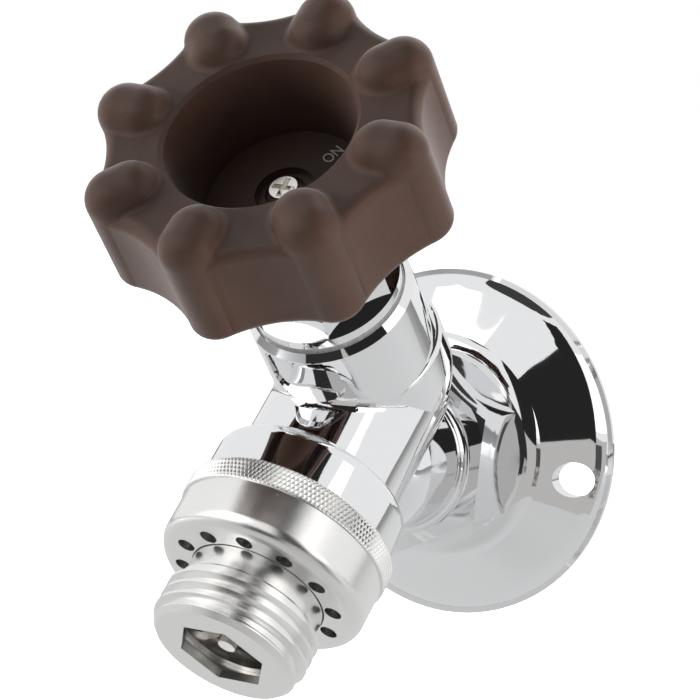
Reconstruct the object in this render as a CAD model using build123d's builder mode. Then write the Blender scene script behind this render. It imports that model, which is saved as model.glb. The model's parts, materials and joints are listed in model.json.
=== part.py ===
from build123d import *
from math import cos, radians, sin
import os

os.makedirs("parts", exist_ok=True)

# A garden tap for a wall. Millimetres, +Z up. The origin is the middle of the flange's back,
# where the inlet's axis meets the wall. The wall is on the +Y side and the tap stands out along -Y.
# Two more axes leave the branch point in the plane x = 0: the stem's, up and forward,
# and the outlet's, down and forward. A station is a distance along one of these axes.

# Axes
branch_reach = 36.8
branch_rise = 14.0
stem_slope = 45.0
outlet_slope = 45.0

# Clearances between pieces
running_gap = 0.06
slip_gap = 0.15
seal_gap = 0.05

# How far a form runs into the one it joins, and a cut past the face it opens
merge = 1.0

# How far a quarter round stands off its chord, for a radius of one
quarter_sag = 1 - cos(radians(45))

# Wall flange, stations from the wall
flange_r = 31.75
flange_lip = 0.9
flange_lip_width = 0.9
flange_depth = 8.2
flange_shell = 2.6
dish_rim_width = 2.4
bell_edge_width = 2.25
bell_edge_height = 2.2
bell_edge_sag = 0.145
collar_r = 21.0
collar_width = 3.4
collar_sag = 0.34
inlet_hub_r = 13.4
screw_hole_r = 3.2
screw_hole_inset = 5.55
screw_hole_drop = 1.8

# Spanner hexagon, barrel and inlet, stations from the wall
hex_across_flats = 31.75
hex_back = 10.0
hex_front = 22.3
hex_chamfer = 1.4
barrel_r = 12.7
barrel_end = 34.4
barrel_foot_round = 1.4
inlet_thread_r = 9.3
inlet_thread_depth = 16.0
inlet_bore_r = 7.5
inlet_bore_depth = 28.0

# Boss, belly and valve seat, stations along the stem's axis
boss_r = 14.4
boss_top = 24.8
boss_chamfer = 1.1
boss_neck_round = 2.0
belly_r = 15.05
belly_shift = 1.12
belly_top = 10.0
belly_round = 0.9
belly_bottom = 3.5
chamber_r = 10.0
chamber_low_r = 8.4
chamber_step = -2.0
chamber_floor = -6.4
seat_face = -5.0
seat_land_r = 6.4
seat_port_r = 4.75
seat_port_depth = 11.5
cartouche_width = 13.6
cartouche_height = 9.0
cartouche_middle = 18.9
cartouche_round = 2.4
cartouche_sink = 0.55

# Outlet neck and spigot, stations along the outlet's axis
neck_r = 14.15
neck_end = 21.0
neck_bore_r = 8.5
spigot_r = 13.1
spigot_length = 10.0

# Bonnet, gland and packing nut
bonnet_thread_r = 11.2
bonnet_thread_length = 15.8
bonnet_gasket_thick = 0.8
bonnet_flange_r = 13.0
bonnet_flange_thick = 1.6
bonnet_hex_flats = 22.0
bonnet_hex_height = 4.3
gland_thread_r = 7.9
gland_height = 6.0
gland_bore_r = 6.0
gland_depth = 6.5
gland_seat_thick = 3.0
nut_flats = 19.0
nut_lift = 0.7
nut_roof = 2.2
packing_washer_thick = 1.0
packing_height = 3.6
nut_chamfer = 1.0

# Stem and seat washer
stem_r = 4.0
stem_thread_r = 6.0
stem_thread_length = 10.5
stem_thread_headroom = 6.5
stem_foot_r = 7.5
stem_foot_thick = 2.6
washer_cup_depth = 1.2
seat_washer_r = 6.6
seat_washer_thick = 3.4
washer_screw_r = 1.6
washer_screw_head_r = 3.0
washer_screw_head = 1.4
washer_screw_length = 7.0
stem_square = 5.6

# Handwheel
lobe_count = 8
lobe_tip_r = 29.5
lobe_round_r = 4.8
lobe_inner_r = 21.9
lobe_rise = 3.7
lobe_dome = 4.4
lobe_proud = 0.08
lobe_join_round = 1.4
valley_r = 25.9
wheel_height = 17.7
rim_round = 2.0
base_round = 1.8
cup_mouth_r = 15.9
cup_floor_r = 13.4
cup_floor_height = 3.0
cup_lip = 0.7
wheel_wall = 3.0
rim_thick = 3.4
hub_r = 7.2
hub_clearance = 3.75
hub_length = 2.6
hub_web = 1.4
screw_well_r = 5.0
screw_well_depth = 0.8
index_disc_r = 12.9
index_disc_thick = 0.6
handle_screw_r = 2.1
handle_screw_length = 9.5
handle_screw_head_r = 3.4
handle_screw_head = 2.1
cross_width = 0.95
cross_length = 4.0
cross_depth = 1.3

# Vacuum breaker
band_r = 17.25
band_gap = 0.3
band_length = 9.5
band_round = 3.0
gasket_room = 2.4
web_thick = 1.8
web_bore_r = 7.5
diaphragm_room = 1.4
skirt_wall = 2.0
skirt_overhang = 0.2
knurl_width = 4.1
knurl_proud = 0.23
shell_r = 18.22
shell_wall = 1.77
shell_length = 13.0
shell_edge_round = 2.4
shell_floor_thick = 1.4
shell_neck_room = 0.17
vent_count = 12
vent_phase = 21.0
vent_inset = 0.23
vent_r = 1.5
set_screw_r = 1.6
set_screw_station = 26.6
set_screw_bearing = 222.0
set_screw_stub = 0.9

# Outlet core with its hose thread
core_flange_thick = 2.6
core_port_count = 6
core_port_r = 0.7
core_neck_r = 11.85
core_neck_length = 3.8
core_bore_r = 9.6
core_wall = 1.5
core_tip_r = 12.75
core_tip_length = 1.6
core_tip_chamfer = 0.9
thread_pitch = 25.4 / 11.5
thread_crest_r = 13.46
thread_root_r = 12.3
thread_sink = 0.3
thread_foot_share = 0.9
thread_crest_share = 0.24
thread_run_in = 1.2
thread_run_out = 0.374
thread_turns = 3
mouth_corner_r = 8.1
mouth_phase = 6.0
mouth_round = 0.3

# Seals and check inside the breaker
hose_gasket_inner_r = 8.9
diaphragm_inner_r = 6.6
poppet_r = 8.2
poppet_thick = 1.6
poppet_edge = 0.6
poppet_stem_r = 1.5
poppet_stem_inset = 1.9
guide_inset = 7.0
guide_thick = 1.8
guide_rim_height = 3.5
guide_hub_r = 3.0
guide_hub_length = 2.8
guide_rim_width = 1.2
guide_spokes = 3
guide_spoke_width = 1.8
spring_wire_r = 0.4
spring_r = 4.8
spring_turns = 5

# Working planes: the local z axis runs along each axis, and a section plane's y axis does
across = Vector(1, 0, 0)
branch = Vector(0, -branch_reach, branch_rise)
inlet_dir = Vector(0, -1, 0)
stem_dir = Vector(0, -cos(radians(stem_slope)), sin(radians(stem_slope)))
outlet_dir = Vector(0, -cos(radians(outlet_slope)), -sin(radians(outlet_slope)))
wall_plane = Plane(origin=(0, 0, 0), x_dir=across, z_dir=inlet_dir)
stem_plane = Plane(origin=branch, x_dir=across, z_dir=stem_dir)
outlet_plane = Plane(origin=branch, x_dir=across, z_dir=outlet_dir)
inlet_section = Plane(origin=(0, 0, 0), x_dir=across, z_dir=across.cross(inlet_dir))
stem_section = Plane(origin=branch, x_dir=across, z_dir=across.cross(stem_dir))
outlet_section = Plane(origin=branch, x_dir=across, z_dir=across.cross(outlet_dir))
inlet_axis = Axis((0, 0, 0), inlet_dir)
stem_axis = Axis(branch, stem_dir)
outlet_axis = Axis(branch, outlet_dir)
about_inlet = (inlet_section, inlet_axis)
about_stem = (stem_section, stem_axis)
about_outlet = (outlet_section, outlet_axis)


def turned(section_and_axis, *outline):
    """A round form turned about an axis from its (radius, station) points."""
    section, axis = section_and_axis
    with BuildPart() as form:
        with BuildSketch(section):
            with BuildLine():
                Polyline(*outline, close=True)
            make_face()
        revolve(axis=axis)
    return form


def ring(section_and_axis, inner_r, outer_r, low, high):
    """A plain ring or, with no inner radius, a disc."""
    return turned(section_and_axis, (inner_r, low), (outer_r, low), (outer_r, high), (inner_r, high))


def chamfered_hexagon(section_and_axis, plane, across_flats, low, high, chamfer_size, turn=0.0):
    """A hexagonal bar whose front corners are turned off, as on a nut."""
    corner_r = across_flats / 2 / cos(radians(30))
    envelope = turned(section_and_axis, (0, low), (corner_r + merge, low),
                      (corner_r + merge, high - chamfer_size / 2), (corner_r - chamfer_size, high), (0, high))
    with BuildPart() as nut:
        with BuildSketch(plane.offset(low)):
            RegularPolygon(across_flats / 2, 6, major_radius=False, rotation=turn)
        extrude(amount=high - low)
        add(envelope.part, mode=Mode.INTERSECT)
    return nut


def around(radius, angle_deg):
    """A point at a radius and an angle on a plane square to an axis."""
    return (radius * cos(radians(angle_deg)), radius * sin(radians(angle_deg)))


# Valve body: flange, hexagon, barrel, belly, stem boss and outlet neck are one casting
with BuildPart() as flange_bell:
    with BuildSketch(inlet_section):
        with BuildLine():
            lip_corner = (flange_r - flange_lip_width, flange_lip)
            bell_edge = (lip_corner[0] - bell_edge_width, flange_lip + bell_edge_height)
            bell_top = (collar_r, flange_depth)
            collar_top = (collar_r - collar_width, hex_back)
            Polyline((0, 0), (flange_r, 0), (flange_r, flange_lip), lip_corner)
            SagittaArc(lip_corner, bell_edge, -bell_edge_sag)
            Line(bell_edge, bell_top)
            SagittaArc(bell_top, collar_top, -collar_sag)
            Polyline(collar_top, (0, hex_back), (0, 0))
        make_face()
    revolve(axis=inlet_axis)

dish_outer = (flange_r - dish_rim_width, 0)
dish_inner = (collar_r - flange_shell / 2, flange_depth - flange_shell)
dish = turned(about_inlet, dish_outer, dish_inner, (inlet_hub_r, dish_inner[1]), (inlet_hub_r, 0))

spanner_hexagon = chamfered_hexagon(about_inlet, wall_plane, hex_across_flats, flange_depth, hex_front,
                                    hex_chamfer, turn=30)
with BuildPart() as barrel:
    with BuildSketch(inlet_section):
        with BuildLine():
            foot_corner = (barrel_r + barrel_foot_round, hex_front)
            foot_top = (barrel_r, hex_front + barrel_foot_round)
            Polyline((0, hex_front - merge), (barrel_r + barrel_foot_round, hex_front - merge), foot_corner)
            SagittaArc(foot_corner, foot_top, barrel_foot_round * quarter_sag)
            Line(foot_top, (barrel_r, barrel_end))
            SagittaArc((barrel_r, barrel_end), (0, barrel_end + barrel_r), -barrel_r * quarter_sag)
            Line((0, barrel_end + barrel_r), (0, hex_front - merge))
        make_face()
    revolve(axis=inlet_axis)
spigot_end = neck_end + spigot_length
outlet_neck = ring(about_outlet, 0, neck_r, 0, neck_end)
spigot = ring(about_outlet, 0, spigot_r, neck_end - merge, spigot_end)

# The boss runs right through the neck so that the crease between them closes, then its lower end goes
with BuildPart() as stem_boss:
    add(ring(about_stem, 0, boss_r, -boss_r - merge, boss_top).part)
    add(outlet_neck.part)
    fillet(stem_boss.edges().filter_by(GeomType.BSPLINE), radius=boss_neck_round)
    chamfer(stem_boss.edges().filter_by(GeomType.CIRCLE).sort_by(stem_axis)[-1], length=boss_chamfer)
    split(bisect_by=stem_plane, keep=Keep.TOP)

belly_centre = stem_plane.from_local_coords(Vector(0, belly_shift, belly_bottom))
belly_plane = Plane(origin=belly_centre, x_dir=across, z_dir=stem_dir)
with BuildPart() as belly:
    with BuildSketch(belly_plane):
        Circle(belly_r)
    extrude(amount=belly_top - belly_bottom)
    fillet(belly.edges().filter_by(GeomType.CIRCLE).sort_by(stem_axis)[-1], radius=belly_round)
    with Locations(belly_centre):
        Sphere(belly_r)

seat_port = ring(about_stem, 0, seat_port_r, seat_face - seat_port_depth, seat_face + merge)
outlet_way = ring(about_outlet, 0, neck_bore_r, 0, spigot_end + merge)
inlet_way = turned(about_inlet, (0, -merge), (inlet_thread_r, -merge), (inlet_thread_r, inlet_thread_depth),
                   (inlet_bore_r, inlet_thread_depth + inlet_thread_r - inlet_bore_r),
                   (inlet_bore_r, inlet_bore_depth), (0, inlet_bore_depth))

# A shallow rounded field on the front of the boss
field_plane = Plane(origin=stem_plane.from_local_coords(Vector(0, -boss_r, cartouche_middle)),
                    x_dir=across, z_dir=stem_plane.y_dir)
field_skin = ring(about_stem, boss_r - cartouche_sink, boss_r + merge,
                  cartouche_middle - cartouche_height, cartouche_middle + cartouche_height)
with BuildPart() as cartouche:
    with BuildSketch(field_plane.offset(-merge)):
        RectangleRounded(cartouche_width, cartouche_height, cartouche_round)
    extrude(amount=boss_r)
    add(field_skin.part, mode=Mode.INTERSECT)

with BuildPart() as elbow:
    for form in (stem_boss, outlet_neck, belly):
        add(form.part)
    with Locations(branch):
        Sphere(neck_r)
    add(barrel.part)

bonnet_low = boss_top - bonnet_thread_length
screw_hole_spacing = 2 * (flange_r - screw_hole_inset)
water_chamber = turned(about_stem, (0, seat_face), (seat_land_r, seat_face), (seat_land_r, chamber_floor),
                       (chamber_low_r, chamber_floor), (chamber_low_r, chamber_step - (chamber_r - chamber_low_r)),
                       (chamber_r, chamber_step), (chamber_r, bonnet_low), (bonnet_thread_r, bonnet_low),
                       (bonnet_thread_r, boss_top + merge), (0, boss_top + merge))
with BuildPart() as valve_body:
    for form in (flange_bell, spanner_hexagon, elbow):
        add(form.part)
    add(spigot.part)
    for cut in (dish, water_chamber, seat_port, outlet_way, inlet_way, cartouche):
        add(cut.part, mode=Mode.SUBTRACT)
    with BuildSketch(wall_plane):
        with Locations((-screw_hole_spacing / 2, -screw_hole_drop), (screw_hole_spacing / 2, -screw_hole_drop)):
            Circle(screw_hole_r)
    extrude(amount=flange_depth, mode=Mode.SUBTRACT)
valve_body.part.label = "valve_body"
export_step(valve_body.part, "parts/valve_body.step")

# Bonnet: screws into the boss over a gasket, carries the stem's thread and the gland
bonnet_seat = boss_top + bonnet_gasket_thick
bonnet_top = bonnet_seat + bonnet_flange_thick
bonnet_hex_top = bonnet_top + bonnet_hex_height
gland_top = bonnet_hex_top + gland_height
gland_floor = gland_top - gland_depth
stem_thread_room = gland_floor - gland_seat_thick
bonnet_gasket = ring(about_stem, bonnet_thread_r + slip_gap, bonnet_flange_r, boss_top, bonnet_seat)
bonnet_gasket.part.label = "bonnet_gasket"
export_step(bonnet_gasket.part, "parts/bonnet_gasket.step")

bonnet_screw_r = bonnet_thread_r - seal_gap
bonnet_core = turned(about_stem, (0, bonnet_low), (bonnet_screw_r, bonnet_low), (bonnet_screw_r, bonnet_seat),
                     (bonnet_flange_r, bonnet_seat), (bonnet_flange_r, bonnet_top), (gland_thread_r, bonnet_top),
                     (gland_thread_r, gland_top), (0, gland_top))
bonnet_hexagon = chamfered_hexagon(about_stem, stem_plane, bonnet_hex_flats, bonnet_seat + bonnet_flange_thick / 2,
                                   bonnet_hex_top, nut_chamfer)
stem_nut_r = stem_thread_r + running_gap
stem_hole_r = stem_r + slip_gap
bonnet_bore = turned(about_stem, (0, bonnet_low - merge), (stem_nut_r, bonnet_low - merge),
                     (stem_nut_r, stem_thread_room), (stem_hole_r, stem_thread_room), (stem_hole_r, gland_floor),
                     (gland_bore_r, gland_floor), (gland_bore_r, gland_top + merge), (0, gland_top + merge))
with BuildPart() as bonnet:
    add(bonnet_core.part)
    add(bonnet_hexagon.part)
    add(bonnet_bore.part, mode=Mode.SUBTRACT)
bonnet.part.label = "bonnet"
export_step(bonnet.part, "parts/bonnet.step")

# Gland: a washer, the packing and a follower that the packing nut presses down
packing_low = gland_floor + packing_washer_thick
packing_high = packing_low + packing_height
nut_ceiling = gland_top + slip_gap
nut_top = nut_ceiling + nut_roof
nut_low = bonnet_hex_top + nut_lift
gland_fill_r = gland_bore_r - seal_gap
packing_washer = ring(about_stem, stem_hole_r, gland_fill_r, gland_floor, packing_low)
packing_washer.part.label = "packing_washer"
export_step(packing_washer.part, "parts/packing_washer.step")

packing = ring(about_stem, stem_r + running_gap, gland_fill_r, packing_low, packing_high)
packing.part.label = "packing"
export_step(packing.part, "parts/packing.step")

gland_follower = ring(about_stem, stem_hole_r, gland_fill_r, packing_high, nut_ceiling)
gland_follower.part.label = "gland_follower"
export_step(gland_follower.part, "parts/gland_follower.step")

nut_blank = chamfered_hexagon(about_stem, stem_plane, nut_flats, nut_low, nut_top, nut_chamfer)
nut_thread_r = gland_thread_r + seal_gap
nut_bore = turned(about_stem, (0, nut_low - merge), (nut_thread_r, nut_low - merge), (nut_thread_r, nut_ceiling),
                  (stem_hole_r, nut_ceiling), (stem_hole_r, nut_top + merge), (0, nut_top + merge))
with BuildPart() as packing_nut:
    add(nut_blank.part)
    add(nut_bore.part, mode=Mode.SUBTRACT)
packing_nut.part.label = "packing_nut"
export_step(packing_nut.part, "parts/packing_nut.step")

# Stem: turns and rises in the bonnet's thread, its foot holds the seat washer in a cup
washer_low = seat_face + seal_gap
washer_high = washer_low + seat_washer_thick
cup_roof = washer_high + seal_gap
foot_low = washer_high - washer_cup_depth
foot_high = cup_roof + stem_foot_thick
washer_cup_r = seat_washer_r + slip_gap
stem_thread_high = stem_thread_room - stem_thread_headroom
stem_thread_low = stem_thread_high - stem_thread_length
hub_low = nut_top + hub_clearance
wheel_low = hub_low + hub_length
cup_floor = wheel_low + cup_floor_height
screw_seat = cup_floor - screw_well_depth
square_top = screw_seat - hub_web - seal_gap
stem_core = turned(about_stem, (0, cup_roof), (washer_cup_r, cup_roof), (washer_cup_r, foot_low),
                   (stem_foot_r, foot_low), (stem_foot_r, foot_high), (stem_r, foot_high + stem_foot_r - stem_r),
                   (stem_r, stem_thread_low - merge), (stem_thread_r, stem_thread_low),
                   (stem_thread_r, stem_thread_high), (stem_r, stem_thread_high + merge), (stem_r, hub_low),
                   (0, hub_low))
handle_screw_low = screw_seat - handle_screw_length
washer_screw_high = washer_low + washer_screw_length
with BuildPart() as stem:
    add(stem_core.part)
    with BuildSketch(stem_plane.offset(hub_low)):
        Rectangle(stem_square, stem_square)
    extrude(amount=square_top - hub_low)
    with BuildSketch(stem_plane.offset(square_top)):
        Circle(handle_screw_r + seal_gap)
    extrude(amount=handle_screw_low - merge - square_top, mode=Mode.SUBTRACT)
    with BuildSketch(stem_plane.offset(cup_roof)):
        Circle(washer_screw_r + seal_gap)
    extrude(amount=washer_screw_high + merge - cup_roof, mode=Mode.SUBTRACT)
stem.part.label = "stem"
export_step(stem.part, "parts/stem.step")

seat_washer = ring(about_stem, washer_screw_r + slip_gap, seat_washer_r, washer_low, washer_high)
seat_washer.part.label = "seat_washer"
export_step(seat_washer.part, "parts/seat_washer.step")

head_high = washer_low - seal_gap
head_low = head_high - washer_screw_head
washer_screw = turned(about_stem, (0, head_low), (washer_screw_head_r, head_low), (washer_screw_head_r, head_high),
                      (washer_screw_r, head_high), (washer_screw_r, washer_screw_high), (0, washer_screw_high))
washer_screw.part.label = "washer_screw"
export_step(washer_screw.part, "parts/washer_screw.step")

# Handwheel: a scalloped wheel with domed lobes, a cup above the hub and a hollow underside
wheel_rim = wheel_low + wheel_height
lobe_top = wheel_rim + lobe_rise
hollow_top = wheel_rim - rim_thick
lobe_pitch = 360 / lobe_count
lobe_centre_r = lobe_tip_r - lobe_round_r
valley_reach = lobe_centre_r * cos(radians(lobe_pitch / 2))
# The scallop's arc touches the round ends of two lobes and comes in to the valley's radius
scallop_r = ((valley_r ** 2 + lobe_centre_r ** 2 - 2 * valley_r * valley_reach - lobe_round_r ** 2)
             / (2 * (lobe_round_r - valley_r + valley_reach)))


def touch_point(lobe, side):
    """Where a lobe's round end meets the scallop on one side of it."""
    lobe_middle = Vector(*around(lobe_centre_r, lobe * lobe_pitch))
    scallop_middle = Vector(*around(valley_r + scallop_r, (lobe + side / 2) * lobe_pitch))
    return lobe_middle + (scallop_middle - lobe_middle) * (lobe_round_r / (lobe_round_r + scallop_r))


with BuildPart() as lobe_column:
    with BuildSketch(stem_plane.offset(wheel_low + base_round)):
        with Locations(((lobe_inner_r + lobe_centre_r) / 2, 0)):
            SlotCenterToCenter(lobe_centre_r - lobe_inner_r, 2 * (lobe_round_r + lobe_proud))
    extrude(amount=lobe_top - wheel_low - base_round)
    fillet(lobe_column.faces().sort_by(stem_axis)[-1].edges(), radius=lobe_dome)

with BuildPart() as wheel_blank:
    with BuildSketch(stem_plane.offset(wheel_low)):
        with BuildLine():
            for lobe in range(lobe_count):
                ThreePointArc(touch_point(lobe, -1), around(lobe_tip_r, lobe * lobe_pitch), touch_point(lobe, 1))
                ThreePointArc(touch_point(lobe, 1), around(valley_r, (lobe + 0.5) * lobe_pitch),
                              touch_point(lobe + 1, -1))
        make_face()
    extrude(amount=wheel_rim - wheel_low)
    fillet(wheel_blank.faces().sort_by(stem_axis)[-1].edges(), radius=rim_round)
    fillet(wheel_blank.faces().sort_by(stem_axis)[0].edges(), radius=base_round)
    for lobe in range(lobe_count):
        add(lobe_column.part.rotate(stem_axis, lobe * lobe_pitch))
    rim_face = wheel_blank.faces().filter_by(GeomType.PLANE).group_by(stem_axis)[-2].sort_by(SortBy.AREA)[-1]
    fillet(rim_face.edges(), radius=lobe_join_round)

floor_under = cup_floor - wheel_wall / 2
hollow_outer_r = valley_r - wheel_wall
cup_cut = turned(about_stem, (0, cup_floor), (cup_floor_r, cup_floor), (cup_mouth_r, wheel_rim - cup_lip),
                 (cup_mouth_r + cup_lip, wheel_rim), (cup_mouth_r + cup_lip, lobe_top), (0, lobe_top))
hollow_cut = turned(about_stem, (hub_r, wheel_low - merge), (hollow_outer_r, wheel_low - merge),
                    (hollow_outer_r, hollow_top), (cup_mouth_r + wheel_wall / 2, hollow_top),
                    (cup_floor_r + wheel_wall / 2, floor_under), (hub_r, floor_under))
with BuildPart() as handwheel:
    add(wheel_blank.part)
    add(cup_cut.part, mode=Mode.SUBTRACT)
    add(hollow_cut.part, mode=Mode.SUBTRACT)
    with BuildSketch(stem_plane.offset(hub_low)):
        Circle(hub_r)
    extrude(amount=(floor_under + cup_floor) / 2 - hub_low)
    with BuildSketch(stem_plane.offset(hub_low)):
        Rectangle(stem_square + 2 * seal_gap, stem_square + 2 * seal_gap)
    extrude(amount=screw_seat - hub_web - hub_low, mode=Mode.SUBTRACT)
    with BuildSketch(stem_plane.offset(hub_low)):
        Circle(handle_screw_r + slip_gap)
    extrude(amount=cup_floor - hub_low, mode=Mode.SUBTRACT)
    with BuildSketch(stem_plane.offset(screw_seat)):
        Circle(screw_well_r)
    extrude(amount=cup_floor - screw_seat, mode=Mode.SUBTRACT)
handwheel.part.label = "handwheel"
export_step(handwheel.part, "parts/handwheel.step")

index_disc = ring(about_stem, screw_well_r, index_disc_r, cup_floor, cup_floor + index_disc_thick)
index_disc.part.label = "index_disc"
export_step(index_disc.part, "parts/index_disc.step")

screw_head_top = screw_seat + handle_screw_head
screw_blank = turned(about_stem, (0, handle_screw_low), (handle_screw_r, handle_screw_low),
                     (handle_screw_r, screw_seat), (handle_screw_head_r, screw_seat),
                     (handle_screw_head_r, screw_head_top - handle_screw_head / 2),
                     (handle_screw_head_r - handle_screw_head / 2, screw_head_top), (0, screw_head_top))
with BuildPart() as handle_screw:
    add(screw_blank.part)
    with BuildSketch(stem_plane.offset(screw_head_top - cross_depth)):
        Rectangle(cross_length, cross_width)
        Rectangle(cross_width, cross_length)
    extrude(amount=cross_depth, mode=Mode.SUBTRACT)
handle_screw.part.label = "handle_screw"
export_step(handle_screw.part, "parts/handle_screw.step")

# Vacuum breaker body: screws over the spigot, its skirt takes the outlet core
spigot_nut_r = spigot_r + seal_gap
shell_inner_r = shell_r - shell_wall
skirt_outer_r = shell_inner_r - seal_gap
skirt_thread_r = skirt_outer_r - skirt_wall
band_near = neck_end + band_gap
band_far = band_near + band_length - seal_gap
web_near = spigot_end + gasket_room
web_far = web_near + web_thick
core_flange_near = web_far + diaphragm_room
core_flange_far = core_flange_near + core_flange_thick
skirt_end = core_flange_far + skirt_overhang
set_screw_plane = Plane(origin=outlet_plane.from_local_coords(Vector(0, 0, set_screw_station)),
                        x_dir=outlet_dir, z_dir=across.rotate(Axis((0, 0, 0), outlet_dir), set_screw_bearing))
with BuildPart() as breaker_body:
    with BuildSketch(outlet_section):
        with BuildLine():
            Polyline((spigot_nut_r, band_near), (band_r - band_round, band_near))
            SagittaArc((band_r - band_round, band_near), (band_r, band_near + band_round),
                       -band_round * quarter_sag)
            Polyline((band_r, band_near + band_round), (band_r, band_far), (skirt_outer_r, band_far),
                     (skirt_outer_r, skirt_end), (skirt_thread_r, skirt_end), (skirt_thread_r, web_far),
                     (web_bore_r, web_far), (web_bore_r, web_near), (spigot_nut_r, web_near),
                     (spigot_nut_r, band_near))
        make_face()
    revolve(axis=outlet_axis)
    with BuildSketch(set_screw_plane.offset(spigot_r)):
        Circle(set_screw_r + seal_gap)
    extrude(amount=band_r, mode=Mode.SUBTRACT)
breaker_body.part.label = "breaker_body"
export_step(breaker_body.part, "parts/breaker_body.step")

with BuildPart() as set_screw:
    with BuildSketch(set_screw_plane.offset(spigot_nut_r)):
        Circle(set_screw_r)
    extrude(amount=band_r + set_screw_stub - spigot_nut_r)
set_screw.part.label = "set_screw"
export_step(set_screw.part, "parts/set_screw.step")

# Breaker shell: the knurled cover with the ring of vents
knurl_near = band_near + band_length
knurl_far = knurl_near + knurl_width
knurl_r = shell_r + knurl_proud
shell_end = knurl_near + shell_length
shell_neck_hole_r = core_neck_r + shell_neck_room
vent_pitch_r = shell_neck_hole_r + vent_inset + vent_r
shell_floor = shell_end - shell_floor_thick
shell_edge = shell_end - shell_edge_round
with BuildPart() as breaker_shell:
    with BuildSketch(outlet_section):
        with BuildLine():
            Polyline((shell_r, shell_edge), (shell_r, knurl_far), (knurl_r, knurl_far), (knurl_r, knurl_near),
                     (shell_inner_r, knurl_near), (shell_inner_r, shell_floor), (shell_neck_hole_r, shell_floor),
                     (shell_neck_hole_r, shell_end), (shell_r - shell_edge_round, shell_end))
            SagittaArc((shell_r - shell_edge_round, shell_end), (shell_r, shell_edge),
                       shell_edge_round * quarter_sag)
        make_face()
    revolve(axis=outlet_axis)
    with BuildSketch(outlet_plane.offset(shell_floor - merge)):
        with PolarLocations(vent_pitch_r, vent_count, start_angle=vent_phase):
            Circle(vent_r)
    extrude(amount=shell_floor_thick + 2 * merge, mode=Mode.SUBTRACT)
breaker_shell.part.label = "breaker_shell"
export_step(breaker_shell.part, "parts/breaker_shell.step")

# Outlet core: clamps the diaphragm, ends in the male hose thread
core_flange_r = skirt_thread_r - seal_gap
core_neck_end = shell_end + core_neck_length
thread_start = core_neck_end + thread_run_in
core_end = thread_start + thread_turns * thread_pitch + thread_run_out + core_tip_length
core_ceiling = core_end - core_wall
tip_start = core_end - core_tip_length
tip_step = core_tip_r - thread_root_r
core_blank = turned(about_outlet, (core_bore_r, core_flange_near), (core_flange_r, core_flange_near),
                    (core_flange_r, core_flange_far), (core_neck_r, core_flange_far),
                    (core_neck_r, core_neck_end), (thread_root_r, core_neck_end + thread_root_r - core_neck_r),
                    (thread_root_r, tip_start), (core_tip_r, tip_start + tip_step),
                    (core_tip_r, core_end - core_tip_chamfer), (core_tip_r - core_tip_chamfer, core_end),
                    (0, core_end), (0, core_ceiling), (core_bore_r, core_ceiling))
thread_foot_r = thread_root_r - thread_sink
thread_foot_half = thread_pitch * thread_foot_share / 2
thread_crest_half = thread_pitch * thread_crest_share / 2
thread_centre = outlet_plane.from_local_coords(Vector(0, 0, thread_start))
with BuildPart() as hose_thread:
    with BuildLine() as thread_line:
        Helix(pitch=thread_pitch, height=thread_pitch * thread_turns, radius=thread_foot_r, center=thread_centre,
              direction=outlet_dir)
    helix_start = thread_line.line @ 0
    with BuildSketch(Plane(origin=helix_start, x_dir=helix_start - thread_centre, z_dir=thread_line.line % 0)):
        with BuildLine():
            Polyline((0, -thread_foot_half), (thread_crest_r - thread_foot_r, -thread_crest_half),
                     (thread_crest_r - thread_foot_r, thread_crest_half), (0, thread_foot_half), close=True)
        make_face()
    sweep(path=thread_line.line, is_frenet=True)

with BuildPart() as breaker_outlet:
    add(core_blank.part)
    add(hose_thread.part)
    with BuildSketch(outlet_plane.offset(core_ceiling - merge)) as mouth:
        RegularPolygon(mouth_corner_r, 6, rotation=mouth_phase)
        fillet(mouth.vertices(), radius=mouth_round)
    extrude(amount=core_wall + 2 * merge, mode=Mode.SUBTRACT)
    with BuildSketch(outlet_plane.offset(core_flange_near)):
        with PolarLocations((core_flange_r + core_neck_r) / 2, core_port_count):
            Circle(core_port_r)
    extrude(amount=core_flange_thick, mode=Mode.SUBTRACT)
breaker_outlet.part.label = "breaker_outlet"
export_step(breaker_outlet.part, "parts/breaker_outlet.step")

# Seals of the vacuum breaker
hose_gasket = ring(about_outlet, hose_gasket_inner_r, spigot_r - slip_gap, spigot_end + seal_gap, web_near - seal_gap)
hose_gasket.part.label = "hose_gasket"
export_step(hose_gasket.part, "parts/hose_gasket.step")

diaphragm_near = web_far + seal_gap
diaphragm_far = core_flange_near - seal_gap
diaphragm = ring(about_outlet, diaphragm_inner_r, skirt_thread_r - slip_gap, diaphragm_near, diaphragm_far)
diaphragm.part.label = "diaphragm"
export_step(diaphragm.part, "parts/diaphragm.step")

# Check: a sprung poppet closes against the diaphragm, its stem slides in a spoked guide
poppet_near = diaphragm_far + seal_gap
poppet_far = poppet_near + poppet_thick
poppet_stem_end = core_end - poppet_stem_inset
check_poppet = turned(about_outlet, (0, poppet_near), (poppet_r - poppet_edge, poppet_near),
                      (poppet_r, poppet_near + poppet_edge), (poppet_r, poppet_far), (poppet_stem_r, poppet_far),
                      (poppet_stem_r, poppet_stem_end), (0, poppet_stem_end))
check_poppet.part.label = "check_poppet"
export_step(check_poppet.part, "parts/check_poppet.step")

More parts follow.
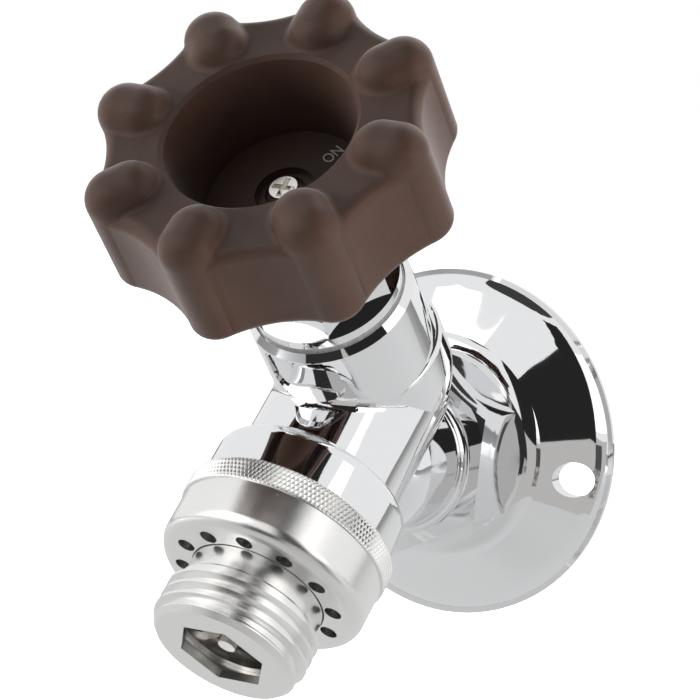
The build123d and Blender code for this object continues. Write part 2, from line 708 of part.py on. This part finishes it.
guide_near = core_end - guide_inset
guide_outer_r = core_bore_r - seal_gap
guide_rim = ring(about_outlet, guide_outer_r - guide_rim_width, guide_outer_r, guide_near,
                 guide_near + guide_rim_height)
with BuildPart() as check_guide:
    add(guide_rim.part)
    with BuildSketch(outlet_plane.offset(guide_near)):
        with PolarLocations((guide_outer_r - guide_rim_width / 2) / 2, guide_spokes, start_angle=90):
            Rectangle(guide_outer_r - guide_rim_width / 2, guide_spoke_width)
    extrude(amount=guide_thick)
    with BuildSketch(outlet_plane.offset(guide_near)):
        Circle(guide_hub_r)
    extrude(amount=guide_hub_length)
    with BuildSketch(outlet_plane.offset(guide_near)):
        Circle(poppet_stem_r + running_gap)
    extrude(amount=guide_hub_length, mode=Mode.SUBTRACT)
check_guide.part.label = "check_guide"
export_step(check_guide.part, "parts/check_guide.step")

spring_near = poppet_far + seal_gap + spring_wire_r
spring_room = guide_near - seal_gap - spring_wire_r - spring_near
with BuildPart() as check_spring:
    with BuildLine() as spring_line:
        Helix(pitch=spring_room / spring_turns, height=spring_room, radius=spring_r,
              center=outlet_plane.from_local_coords(Vector(0, 0, spring_near)), direction=outlet_dir)
    with BuildSketch(Plane(origin=spring_line.line @ 0, z_dir=spring_line.line % 0)):
        Circle(spring_wire_r)
    sweep(path=spring_line.line, is_frenet=True)
check_spring.part.label = "check_spring"
export_step(check_spring.part, "parts/check_spring.step")
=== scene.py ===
import json
import math

import bmesh
import bpy
from mathutils import Matrix, Vector


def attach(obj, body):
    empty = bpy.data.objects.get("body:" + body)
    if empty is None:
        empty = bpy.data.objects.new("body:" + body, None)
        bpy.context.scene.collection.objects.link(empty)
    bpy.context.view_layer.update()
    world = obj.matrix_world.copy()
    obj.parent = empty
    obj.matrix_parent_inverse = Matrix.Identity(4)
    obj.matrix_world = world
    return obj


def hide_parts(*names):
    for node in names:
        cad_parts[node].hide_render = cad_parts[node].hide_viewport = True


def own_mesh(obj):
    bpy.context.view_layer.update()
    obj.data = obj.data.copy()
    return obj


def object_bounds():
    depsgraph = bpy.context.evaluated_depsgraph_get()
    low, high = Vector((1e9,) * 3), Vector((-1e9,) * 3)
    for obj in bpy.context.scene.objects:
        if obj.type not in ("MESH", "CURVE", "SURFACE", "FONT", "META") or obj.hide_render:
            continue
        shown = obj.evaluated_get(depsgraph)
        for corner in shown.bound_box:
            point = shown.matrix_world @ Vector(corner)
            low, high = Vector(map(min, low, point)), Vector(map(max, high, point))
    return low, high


# A chrome garden tap with a brown handwheel, lit by a white studio.
# The solids come from the frame. This script gives every surface its finish, and adds the knurl on the vacuum
# breaker's ring, a coil in the place of the check's spring, and the lettering on the index disc.
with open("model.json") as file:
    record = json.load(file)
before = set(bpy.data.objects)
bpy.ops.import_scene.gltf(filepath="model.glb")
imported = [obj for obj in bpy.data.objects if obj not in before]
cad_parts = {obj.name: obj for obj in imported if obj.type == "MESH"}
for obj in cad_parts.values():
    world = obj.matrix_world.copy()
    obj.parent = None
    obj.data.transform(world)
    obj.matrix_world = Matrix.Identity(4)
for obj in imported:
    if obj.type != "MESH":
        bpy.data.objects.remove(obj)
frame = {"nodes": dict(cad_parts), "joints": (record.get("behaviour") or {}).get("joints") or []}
cad_low, cad_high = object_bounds()

mm = 0.001
weld = 0.001 * mm

# Axes of the tap, from the joints that turn and slide along them
joints = {joint["name"]: joint for joint in frame["joints"]}
branch = Vector(joints["handle_turn"]["pos_m"])
stem_dir = Vector(joints["handle_turn"]["axis"]).normalized()
outlet_dir = Vector(joints["check_travel"]["axis"]).normalized()
across = Vector((1, 0, 0))


def axis_place(direction, station):
    """A matrix whose z axis runs along one of the tap's axes, with its origin at a station on it."""
    turn = Matrix((across, direction.cross(across), direction)).transposed().to_4x4()
    return Matrix.Translation(branch + direction * station) @ turn


def stations(mesh, direction):
    """How far each point of a mesh lies along one of the tap's axes, in metres from the branch."""
    return [(vertex.co - branch).dot(direction) for vertex in mesh.vertices]


def in_scene(name, data):
    """A new object in the scene that holds a mesh, a curve, a lamp or a camera."""
    made = bpy.data.objects.new(name, data)
    bpy.context.scene.collection.objects.link(made)
    return made


def plain_mesh(source):
    """The finished mesh of an object, which is then removed."""
    mesh = bpy.data.meshes.new_from_object(source.evaluated_get(bpy.context.evaluated_depsgraph_get()))
    bpy.data.objects.remove(source)
    return mesh


# Node trees


class Wire:
    """A socket of a node tree. Sums, differences and products of wires add Math nodes."""

    def __init__(self, nodes, socket):
        self.nodes = nodes
        self.socket = socket

    def output(self, which):
        """The wire from another output of the same node, by name or number."""
        return Wire(self.nodes, self.socket.node.outputs[which])

    def math(self, operation, *others):
        return self.nodes.math(operation, self, *others)

    def __add__(self, other):
        return self.math("ADD", other)

    def __sub__(self, other):
        return self.math("SUBTRACT", other)

    def __rsub__(self, other):
        return self.nodes.math("SUBTRACT", other, self)

    def __mul__(self, other):
        return self.math("MULTIPLY", other)

    __radd__ = __add__
    __rmul__ = __mul__


class Nodes:
    """Builds a node tree, one node a call."""

    def __init__(self, tree):
        self.tree = tree

    def put(self, socket, value):
        """Links a wire to a socket, or sets the socket to a value."""
        if isinstance(value, Wire):
            self.tree.links.new(value.socket, socket)
        elif isinstance(value, tuple) and len(value) == 3 and socket.type == "RGBA":
            socket.default_value = (*value, 1.0)
        else:
            socket.default_value = value

    def node(self, kind, settings, *values, out=0, **named):
        """Adds a node: its settings first, then its sockets in order or by name. Returns one output's wire."""
        made = self.tree.nodes.new(kind)
        for key, value in settings.items():
            if key == "stops":
                for stop, (place, colour) in zip(ramp_stops(made, len(value)), value):
                    stop.position = place
                    stop.color = (*colour, 1.0)
            else:
                setattr(made, key, value)
        for socket, value in zip(made.inputs, values):
            self.put(socket, value)
        for key, value in named.items():
            self.put(made.inputs[key.replace("_", " ")], value)
        return Wire(self, made.outputs[out]) if made.outputs else None

    def math(self, operation, *values):
        return self.node("ShaderNodeMath", {"operation": operation}, *values)

    def ramp(self, factor, *stops):
        return self.node("ShaderNodeValToRGB", {"stops": stops}, factor)


def ramp_stops(ramp, count):
    """The stops of a colour ramp, with more added until there are enough."""
    while len(ramp.color_ramp.elements) < count:
        ramp.color_ramp.elements.new(0.5)
    return ramp.color_ramp.elements


class Material(Nodes):
    """The node tree of a new material."""

    def __init__(self, name):
        self.material = bpy.data.materials.new(name)
        self.material.use_nodes = True
        super().__init__(self.material.node_tree)


class Finish(Material):
    """A material with one Principled shader. Its patterns read where a point lies on the object, in metres."""

    def __init__(self, name, **look):
        super().__init__(name)
        self.shader = self.tree.nodes["Principled BSDF"]
        for socket, value in look.items():
            self.feed(socket, value)
        self.spot = self.node("ShaderNodeTexCoord", {}, out="Object")

    def feed(self, socket, value):
        """Gives one of the shader's sockets a value or a wire."""
        self.put(self.shader.inputs[socket.replace("_", " ")], value)

    def offset(self):
        """Where a point lies from the branch."""
        return self.node("ShaderNodeVectorMath", {"operation": "SUBTRACT"}, self.spot, tuple(branch))

    def along(self, direction):
        """How far a point lies along one of the tap's axes, from the branch."""
        settings = {"operation": "DOT_PRODUCT"}
        return self.node("ShaderNodeVectorMath", settings, self.offset(), tuple(direction), out="Value")

    def off_axis(self, direction):
        """How far a point lies from one of the tap's axes."""
        settings = {"operation": "CROSS_PRODUCT"}
        side = self.node("ShaderNodeVectorMath", settings, self.offset(), tuple(direction))
        return self.node("ShaderNodeVectorMath", {"operation": "LENGTH"}, side, out="Value")

    def noise(self, size, detail, place=None):
        """Soft noise from 0 to 1 whose bumps are about one size across."""
        return self.node("ShaderNodeTexNoise", {}, Vector=place or self.spot, Scale=1 / size, Detail=detail)

    def rings(self, direction, size, detail):
        """Noise from 0 to 1 that changes only along and away from an axis, as a lathe leaves it."""
        place = self.node("ShaderNodeCombineXYZ", {}, self.along(direction), self.off_axis(direction))
        return self.noise(size, detail, place)

    def tones(self, size, detail, dark, light):
        """A colour that wanders between two tones. Noise seldom passes the stops at 0.3 and 0.7."""
        return self.ramp(self.noise(size, detail), (0.3, dark), (0.7, light))

    def roughen(self, size, detail, least, spread):
        """Gives the shader a roughness that wanders up from its least by up to a spread."""
        self.feed("Roughness", self.noise(size, detail) * spread + least)

    def relief(self, *layers):
        """Gives the shader a normal with one layer of bumps on another, each a height from 0 to 1 and a depth."""
        under = {}
        for height, depth in layers:
            under = {"Normal": self.node("ShaderNodeBump", {}, Distance=depth, Height=height, **under)}
        self.feed("Normal", under["Normal"])


# Polished chrome plate: mirror bright, with the faint waves of a polished casting
chrome = Finish("polished_chrome", Base_Color=(0.86, 0.865, 0.875), Metallic=1.0)
chrome.roughen(6 * mm, detail=3, least=0.015, spread=0.05)
chrome.relief((chrome.noise(0.5 * mm, detail=3), 0.0006 * mm), (chrome.noise(9 * mm, detail=1), 0.05 * mm))

# Satin plate on turned brass: fine rings round the outlet's axis
satin = Finish("satin_chrome", Base_Color=(0.87, 0.87, 0.86), Metallic=1.0)
satin.roughen(2 * mm, detail=3, least=0.20, spread=0.10)
satin.relief((satin.noise(0.35 * mm, detail=3), 0.004 * mm),
             (satin.rings(outlet_dir, 0.16 * mm, detail=2), 0.004 * mm))

# Bright nickel-plated steel of the screws, the check's guide and its spring
steel = Finish("bright_steel", Base_Color=(0.80, 0.78, 0.74), Metallic=1.0)
steel.roughen(1.2 * mm, detail=3, least=0.12, spread=0.10)
steel.relief((steel.noise(0.25 * mm, detail=2), 0.003 * mm))

# Turned brass, dulled by handling
brass = Finish("turned_brass", Metallic=1.0)
brass.feed("Base_Color", brass.tones(5 * mm, detail=4, dark=(0.52, 0.36, 0.16), light=(0.76, 0.56, 0.28)))
brass.roughen(1.5 * mm, detail=3, least=0.25, spread=0.15)
brass.relief((brass.rings(stem_dir, 0.2 * mm, detail=2), 0.006 * mm))

# Brown moulding: a fine matt grain with pale flecks
brown = Finish("brown_moulding", Specular_IOR_Level=0.3, Sheen_Weight=0.22, Sheen_Roughness=0.35)
fleck_start, fleck_full = 0.66, 0.74
fleck_share = 0.25
fleck_colour = (0.11, 0.085, 0.075)
fleck = brown.ramp(brown.noise(0.35 * mm, detail=2), (fleck_start, (0, 0, 0)), (fleck_full, (1, 1, 1)))
tone = brown.tones(7 * mm, detail=3, dark=(0.052, 0.026, 0.018), light=(0.061, 0.032, 0.023))
brown.feed("Base_Color", brown.node("ShaderNodeMixRGB", {"blend_type": "MIX"},
                                    fleck * fleck_share, tone, fleck_colour))
brown.roughen(0.9 * mm, detail=3, least=0.40, spread=0.12)
brown.relief((brown.noise(3.5 * mm, detail=1), 0.03 * mm), (brown.noise(0.28 * mm, detail=3), 0.022 * mm))

# Dark plate at the bottom of the cup
disc = Finish("index_plate", Specular_IOR_Level=0.25)
disc.feed("Base_Color", disc.tones(2 * mm, detail=3, dark=(0.036, 0.015, 0.009), light=(0.046, 0.020, 0.012)))
disc.roughen(0.8 * mm, detail=3, least=0.42, spread=0.12)
disc.relief((disc.noise(0.22 * mm, detail=2), 0.012 * mm))

# Printing on the plate
ink = Finish("index_print", Specular_IOR_Level=0.3)
ink.feed("Base_Color", ink.tones(0.3 * mm, detail=2, dark=(0.58, 0.52, 0.49), light=(0.70, 0.64, 0.61)))
ink.roughen(0.5 * mm, detail=2, least=0.50, spread=0.15)

# Pale moulding of the check's poppet
pale = Finish("pale_moulding", Specular_IOR_Level=0.5)
pale.feed("Base_Color", pale.tones(2 * mm, detail=2, dark=(0.62, 0.61, 0.57), light=(0.70, 0.69, 0.66)))
pale.roughen(0.6 * mm, detail=3, least=0.30, spread=0.15)
pale.relief((pale.noise(0.4 * mm, detail=2), 0.006 * mm))

# Black rubber of the seals
rubber = Finish("black_rubber", Specular_IOR_Level=0.4)
rubber.feed("Base_Color", rubber.tones(1 * mm, detail=3, dark=(0.014, 0.014, 0.014), light=(0.028, 0.027, 0.026)))
rubber.roughen(0.4 * mm, detail=3, least=0.60, spread=0.2)
rubber.relief((rubber.noise(0.15 * mm, detail=2), 0.02 * mm))

# Grey pressed fibre of the bonnet's gasket
fibre = Finish("grey_fibre", Specular_IOR_Level=0.25)
fibre.feed("Base_Color", fibre.tones(0.3 * mm, detail=4, dark=(0.15, 0.145, 0.14), light=(0.26, 0.25, 0.24)))
fibre.roughen(0.4 * mm, detail=3, least=0.80, spread=0.1)
fibre.relief((fibre.noise(0.12 * mm, detail=3), 0.03 * mm))

finishes = {"chrome": chrome, "satin_chrome": satin, "bright_steel": steel, "brass": brass,
            "brown_plastic": brown, "disc_plastic": disc, "pale_plastic": pale, "black_rubber": rubber,
            "grey_fibre": fibre}
for node in frame["nodes"].values():
    for slot in node.material_slots:
        slot.material = finishes[slot.material.name.split(".")[0]].material


# Knurl: two crossing sets of slanted grooves on the breaker's ring, which fade out at its two ends
knurl_root_r = 18.45 * mm
knurl_crest_r = 18.70 * mm
knurl_near = 30.85 * mm
knurl_far = 34.85 * mm
knurl_teeth = 150
knurl_lean = 2.5
knurl_fade = 0.1
steps_per_tooth = 8


def knurl_tree():
    """A Geometry Nodes tree that rolls a grid into a knurled band about its own z axis."""
    tree = bpy.data.node_groups.new("knurled_band", "GeometryNodeTree")
    sizes = {"Root radius": knurl_root_r, "Crest radius": knurl_crest_r, "Near end": knurl_near,
             "Far end": knurl_far, "Lean in teeth": knurl_lean}
    for name, size in sizes.items():
        tree.interface.new_socket(name, in_out="INPUT", socket_type="NodeSocketFloat").default_value = size
    for name, count in {"Teeth": knurl_teeth, "Steps per tooth": steps_per_tooth}.items():
        tree.interface.new_socket(name, in_out="INPUT", socket_type="NodeSocketInt").default_value = count
    tree.interface.new_socket("Material", in_out="INPUT", socket_type="NodeSocketMaterial")
    tree.interface.new_socket("Geometry", in_out="OUTPUT", socket_type="NodeSocketGeometry")
    nodes = Nodes(tree)
    given = nodes.node("NodeGroupInput", {})
    near, far, lean = given.output("Near end"), given.output("Far end"), given.output("Lean in teeth")
    root, crest = given.output("Root radius"), given.output("Crest radius")
    teeth, steps = given.output("Teeth"), given.output("Steps per tooth")
    grid = nodes.node("GeometryNodeMeshGrid", {}, 1.0, 1.0, teeth * steps + 1, lean * steps + 1)
    place = nodes.node("ShaderNodeSeparateXYZ", {}, nodes.node("GeometryNodeInputPosition", {}))
    turn = place.output("X") + 0.5
    width = place.output("Y") + 0.5
    sets = [(turn * teeth + width * lean * way).math("PINGPONG", 0.5) * 2 for way in (1, -1)]
    edge = ((0.5 - (width - 0.5).math("ABSOLUTE")) * (1 / knurl_fade)).math("MINIMUM", 1.0)
    radius = root + (crest - root) * sets[0].math("MINIMUM", sets[1]) * edge
    angle = turn * math.tau
    rolled = nodes.node("ShaderNodeCombineXYZ", {}, radius * angle.math("COSINE"), radius * angle.math("SINE"),
                        near + (far - near) * width)
    band = nodes.node("GeometryNodeSetPosition", {}, grid, Position=rolled)
    band = nodes.node("GeometryNodeMergeByDistance", {}, band, Distance=weld)
    band = nodes.node("GeometryNodeRealizeInstances", {}, band)
    band = nodes.node("GeometryNodeSetMaterial", {}, band, Material=given.output("Material"))
    nodes.node("NodeGroupOutput", {}, band)
    return tree


def grown(name, tree, **choices):
    """A plain mesh object from a Geometry Nodes tree, with some of the tree's inputs chosen by name."""
    seed = in_scene(name + "_seed", bpy.data.meshes.new(name + "_seed"))
    modifier = seed.modifiers.new("nodes", "NODES")
    modifier.node_group = tree
    for item in tree.interface.items_tree:
        if item.name in choices:
            modifier[item.identifier] = choices[item.name]
    return in_scene(name, plain_mesh(seed))


knurl = grown("knurled_ring", knurl_tree(), Material=satin.material)
knurl.data.transform(axis_place(outlet_dir, 0))
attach(knurl, "tap")


# The check's spring shortens as the check opens; a copy of its coil, with its loose triangles joined up, stands in
# its place
def merged_copy(name, node):
    """A copy of a CAD node with its loose triangles joined up."""
    source = frame["nodes"][node].data
    joined = bmesh.new()
    joined.from_mesh(source)
    bmesh.ops.remove_doubles(joined, verts=joined.verts, dist=weld)
    copy = bpy.data.meshes.new(name)
    joined.to_mesh(copy)
    joined.free()
    for material in source.materials:
        copy.materials.append(material)
    return in_scene(name, copy)


coil = merged_copy("spring_coil", "check_spring")
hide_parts("check_spring")
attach(coil, "tap")
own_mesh(coil)

# Lettering on the index disc
letter_size = 3.1 * mm
letter_narrow = 0.74
letter_thick = 0.03 * mm
letter_middle = (4.76 * mm, 8.70 * mm)
letter_turn = math.radians(64.5)


def lettering(name, words, finish, place):
    """Flat letters as a mesh, centred on a place."""
    curve = bpy.data.curves.new(name, "FONT")
    curve.body = words
    curve.size = letter_size
    curve.extrude = letter_thick
    curve.align_x = "CENTER"
    curve.align_y = "CENTER"
    mesh = plain_mesh(in_scene(name + "_curve", curve))
    mesh.transform(place @ Matrix.Diagonal((letter_narrow, 1, 1, 1)))
    mesh.materials.clear()
    mesh.materials.append(finish.material)
    return in_scene(name, mesh)


disc_top = max(stations(frame["nodes"]["index_disc"].data, stem_dir))
letter_place = (axis_place(stem_dir, disc_top) @ Matrix.Translation((*letter_middle, 0))
                @ Matrix.Rotation(letter_turn, 4, "Z"))
index_print = lettering("index_print", "ON", ink, letter_place)
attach(index_print, "stem_and_handle")


# Floor and world
class Stage(Material):
    """A material with shaders of its own."""

    def __init__(self, name):
        super().__init__(name)
        self.tree.nodes.remove(self.tree.nodes["Principled BSDF"])

    def surface(self, shader):
        self.put(self.tree.nodes["Material Output"].inputs["Surface"], shader)


def stage_sheet(name, points, faces, finish):
    """A mesh of the studio, which isn't part of the tap."""
    mesh = bpy.data.meshes.new(name)
    mesh.from_pydata(points, [], faces)
    mesh.materials.append(finish.material)
    sheet = in_scene(name, mesh)
    return sheet


def seen_rays(nodes):
    """Wires that are 1 for rays from the camera, and for rays from a gloss or a glass, else 0."""
    rays = nodes.node("ShaderNodeLightPath", {})
    eye_ray = rays.output("Is Camera Ray")
    bounced_ray = rays.output("Is Glossy Ray").math("MAXIMUM", rays.output("Is Transmission Ray"))
    return eye_ray, bounced_ray * (1 - eye_ray)


# The floor shows white to the camera, greyer in gloss, and keeps a part of the tap's shadow
floor_glow = 0.84
floor_gloss_glow = 0.22
floor_tone = 0.72
floor_gloss_tone = 0.28
floor_half = 3.0
floor_depth = 95 * mm
floor_z = cad_low.z - floor_depth
floor = Stage("pale_floor")
eye_ray, gloss_ray = seen_rays(floor)
floor_light = floor.node("ShaderNodeEmission", {}, (1, 1, 1), eye_ray * floor_glow + gloss_ray * floor_gloss_glow)
floor_body = floor.node("ShaderNodeBsdfDiffuse", {}, floor_tone - gloss_ray * (floor_tone - floor_gloss_tone))
floor.surface(floor.node("ShaderNodeAddShader", {}, floor_light, floor_body))
stage_sheet("floor", [(floor_half * side, floor_half * end, floor_z)
                      for side, end in ((-1, -1), (1, -1), (1, 1), (-1, 1))], [(0, 1, 2, 3)], floor)

# The world is white to the camera and a soft fill to the rest
fill_level = 0.25
wall_gloss_level = 0.90
world = bpy.data.worlds.new("studio")
world.use_nodes = True
bpy.context.scene.world = world
air = Nodes(world.node_tree)
eye_ray, gloss_ray = seen_rays(air)
air.put(world.node_tree.nodes["Background"].inputs["Color"], (1, 1, 1))
air.put(world.node_tree.nodes["Background"].inputs["Strength"],
        eye_ray * (1 - fill_level) + gloss_ray * (wall_gloss_level - fill_level) + fill_level)


def softbox(name, place, width, height, watts):
    """A rectangular lamp that faces the tap and doesn't show in its gloss."""
    light = bpy.data.lights.new(name, "AREA")
    light.shape = "RECTANGLE"
    light.size = width
    light.size_y = height
    light.energy = watts
    lamp = in_scene(name, light)
    facing = (branch - Vector(place)).to_track_quat("-Z", "Y").to_matrix().to_4x4()
    lamp.matrix_world = Matrix.Translation(place) @ facing
    lamp.visible_glossy = False
    lamp.visible_camera = False


softbox("left_box", (-1.00, -0.40, 0.06), width=0.9, height=0.30, watts=18)
softbox("right_box", (1.05, -0.08, 0.06), width=0.9, height=0.34, watts=12)
softbox("top_box", (-0.1, 0.75, 0.85), width=0.9, height=0.6, watts=21)

# Boards that only reflections see, each between four directions from the tap
board_reach = 1.0
card_reach = 1.1
board_steps = 24
board_lift = 2 * mm
board_tint = (1.0, 0.98, 0.96)


def seen_from_tap(azimuth, elevation, reach):
    """A point in a direction from the branch, at a reach or, if that is nearer, just above the floor."""
    turn, rise = math.radians(azimuth), math.radians(elevation)
    if rise < 0:
        reach = min(reach, (branch.z - floor_z - board_lift) / -math.sin(rise))
    level = math.cos(rise)
    return branch + reach * Vector((level * math.cos(turn), level * math.sin(turn), math.sin(rise)))


def board(name, glow, corners, reach=board_reach):
    """A curved board with a plain glow. Its corners, in order round it, are azimuths and elevations in degrees."""
    finish = Stage(name + "_face")
    finish.surface(finish.node("ShaderNodeEmission", {}, board_tint, glow))
    near_left, near_right, far_right, far_left = (Vector(corner) for corner in corners)
    shares = [step / board_steps for step in range(board_steps + 1)]
    points = []
    for share in shares:
        left_end, right_end = near_left.lerp(far_left, share), near_right.lerp(far_right, share)
        points += [seen_from_tap(*left_end.lerp(right_end, along), reach) for along in shares]
    row = len(shares)
    starts = [row * line + column for line in range(board_steps) for column in range(board_steps)]
    faces = [(start, start + 1, start + row + 1, start + row) for start in starts]
    sheet = stage_sheet(name, points, faces, finish)
    sheet.visible_camera = False
    sheet.visible_diffuse = False
    sheet.visible_shadow = False
    sheet.visible_transmission = False


board("ceiling_flag", 0.05, ((-180, 72), (180, 72), (180, 90), (-180, 90)))
board("front_flag", 0.02, ((-74, 4), (-32, 2), (-22, 66), (-54, 66)))
board("front_flag_foot", 0.03, ((-106, -16), (-62, -16), (-73, 8), (-104, 12)))
board("side_flag", 0.08, ((-30, -26), (-14, -26), (-18, 1), (-34, 1)))
board("front_card", 0.52, ((-84, -34), (-8, -34), (-8, 4), (-73, 6)), card_reach)
board("left_window", 1.7, ((-155, 8), (-108, 8), (-97, 55), (-150, 55)))
board("right_window", 1.4, ((-31, 8), (2, 8), (2, 48), (-25, 48)))

# Camera: half a metre off with a long lens, a little above the tap
eye_target = Vector((-2.442, -40.0, 20.098)) * mm
eye_reach = 491.134 * mm
eye_yaw = -0.494
eye_pitch = -0.155
eye_roll = 0.104
focal_pixels = 2873.26
picture_pixels = 700
forward = Vector((math.sin(eye_yaw) * math.cos(eye_pitch), math.cos(eye_yaw) * math.cos(eye_pitch),
                  math.sin(eye_pitch)))
level_right = Vector((math.cos(eye_yaw), -math.sin(eye_yaw), 0))
level_up = level_right.cross(forward)
right = level_right * math.cos(eye_roll) + level_up * math.sin(eye_roll)
up = level_up * math.cos(eye_roll) - level_right * math.sin(eye_roll)
lens = bpy.data.cameras.new("eye")
lens.sensor_width = 36
lens.lens = lens.sensor_width * focal_pixels / picture_pixels
eye = in_scene("eye", lens)
eye.matrix_world = (Matrix.Translation(eye_target - forward * eye_reach)
                    @ Matrix((right, up, -forward)).transposed().to_4x4())
bpy.context.scene.camera = eye
bpy.context.scene.view_settings.view_transform = "Standard"
